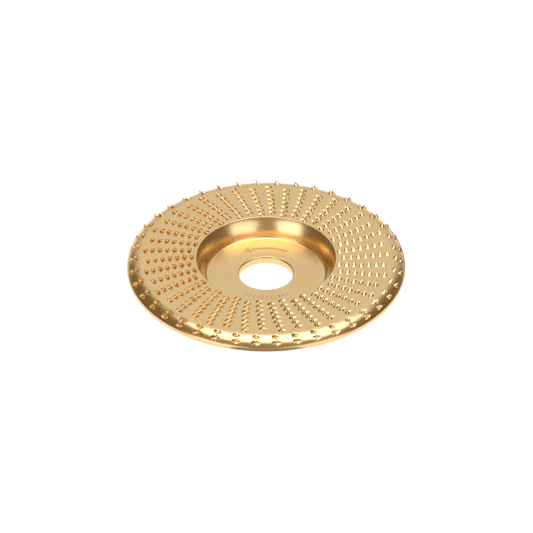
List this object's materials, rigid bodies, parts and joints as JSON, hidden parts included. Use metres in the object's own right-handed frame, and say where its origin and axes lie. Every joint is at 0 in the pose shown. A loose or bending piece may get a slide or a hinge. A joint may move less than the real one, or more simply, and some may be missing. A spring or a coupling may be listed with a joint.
{
  "type": "carving disc",
  "caption": "Dished round steel rasp disc for an angle grinder, with a central arbor bore, a nut recess and spiral rows of raised barbs out to its rounded edge.",
  "frame": {"origin": "centre of the arbor bore on the hub's back face, the face that seats on the grinder's flange", "axes": "+Z along the arbor, from the grinder towards the barbed face; the disc turns counter-clockwise seen from +Z"},
  "size_m": [0.115, 0.115, 0.0122],
  "materials": {
    "gold_coated_plate": "satin gold coating on blasted steel",
    "gold_coated_barbs": "satin gold coating, brighter on the freshly raised steel"
  },
  "bodies": {
    "root": {"disc_plate": "gold_coated_plate", "barb_ring_01": "gold_coated_barbs", "barb_ring_02": "gold_coated_barbs", "barb_ring_03": "gold_coated_barbs", "barb_ring_04": "gold_coated_barbs", "barb_ring_05": "gold_coated_barbs", "barb_ring_06": "gold_coated_barbs", "barb_ring_07": "gold_coated_barbs", "barb_ring_08": "gold_coated_barbs", "barb_ring_09": "gold_coated_barbs", "barb_ring_10": "gold_coated_barbs", "barb_ring_11": "gold_coated_barbs", "barb_ring_12": "gold_coated_barbs", "barb_ring_13": "gold_coated_barbs", "barb_ring_14": "gold_coated_barbs", "edge_barb_ring_1": "gold_coated_barbs", "edge_barb_ring_2": "gold_coated_barbs"}
  },
  "joints": []
}
